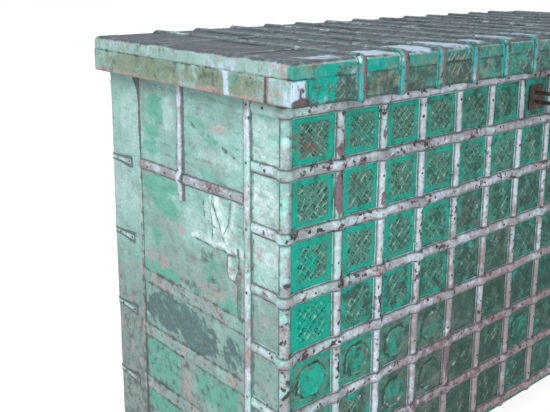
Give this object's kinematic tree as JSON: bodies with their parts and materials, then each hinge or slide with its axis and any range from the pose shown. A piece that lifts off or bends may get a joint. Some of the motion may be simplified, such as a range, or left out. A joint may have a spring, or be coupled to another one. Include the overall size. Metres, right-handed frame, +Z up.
{
  "type": "storage chest",
  "caption": "Long iron-clad timber storage chest on post feet, its front a grid of domed straps over pressed squares, with a thick strapped overhanging lid hinged at the back and a hasp.",
  "frame": {"origin": "on the ground, under the middle of the chest's outer box", "axes": "+X along the front towards its right end as seen from the front, +Y from front to back, +Z up"},
  "size_m": [1.6852, 0.6912, 1.0232],
  "materials": {
    "timber": "old oiled hardwood",
    "painted_sheet": "worn green paint on sheet iron",
    "strap_iron": "pale paint worn through to rusted iron",
    "bare_iron": "forged iron, dark with light rust"
  },
  "bodies": {
    "chest": {"back_plank_lower": "timber", "back_plank_middle": "timber", "back_plank_upper": "timber", "back_sheet": "painted_sheet", "back_straps": "strap_iron", "floor_bearer_back": "timber", "floor_bearer_front": "timber", "floor_board_left": "timber", "floor_board_right": "timber", "front_plank_lower": "timber", "front_plank_middle": "timber", "front_plank_upper": "timber", "front_row_straps": "strap_iron", "front_sheet": "painted_sheet", "front_upright_straps": "strap_iron", "hinge_leaves_lower": "bare_iron", "hinge_pins": "bare_iron", "left_corner_bead": "strap_iron", "left_corner_sheet": "painted_sheet", "left_end_cross_strap": "strap_iron", "left_end_plank_lower": "timber", "left_end_plank_middle": "timber", "left_end_plank_upper": "timber", "left_end_sheet": "painted_sheet", "left_end_strap_front": "strap_iron", "left_end_strap_short": "strap_iron", "left_end_strips": "painted_sheet", "post_back_left": "timber", "post_back_right": "timber", "post_front_left": "timber", "post_front_right": "timber", "right_corner_bead": "strap_iron", "right_corner_sheet": "painted_sheet", "right_end_cross_strap": "strap_iron", "right_end_plank_lower": "timber", "right_end_plank_middle": "timber", "right_end_plank_upper": "timber", "right_end_sheet": "painted_sheet", "right_end_strap_front": "strap_iron", "right_end_strap_short": "strap_iron", "right_end_strips": "painted_sheet", "staple": "bare_iron"},
    "lid": {"hasp_pin": "bare_iron", "hasp_plate": "bare_iron", "hinge_leaves_upper": "bare_iron", "lid_battens": "timber", "lid_board_back": "timber", "lid_board_front": "timber", "lid_board_middle": "timber", "lid_corner_plates": "painted_sheet", "lid_rail_back": "timber", "lid_rail_front": "timber", "lid_rail_left": "timber", "lid_rail_right": "timber", "lid_rim_sheet": "painted_sheet", "lid_seam_strips": "painted_sheet", "lid_straps": "strap_iron", "lid_top_sheet": "painted_sheet"},
    "hasp": {"hasp": "bare_iron"}
  },
  "joints": [
    {"name": "lid_hinge", "type": "hinge", "parent": "chest", "child": "lid", "pos_m": [0, 0.3381, 0.942], "axis": [-1, 0, 0], "range_deg": [0, 100]},
    {"name": "hasp_hinge", "type": "hinge", "parent": "lid", "child": "hasp", "pos_m": [0, -0.3406, 0.941], "axis": [-1, 0, 0], "range_deg": [-25, 160]}
  ]
}
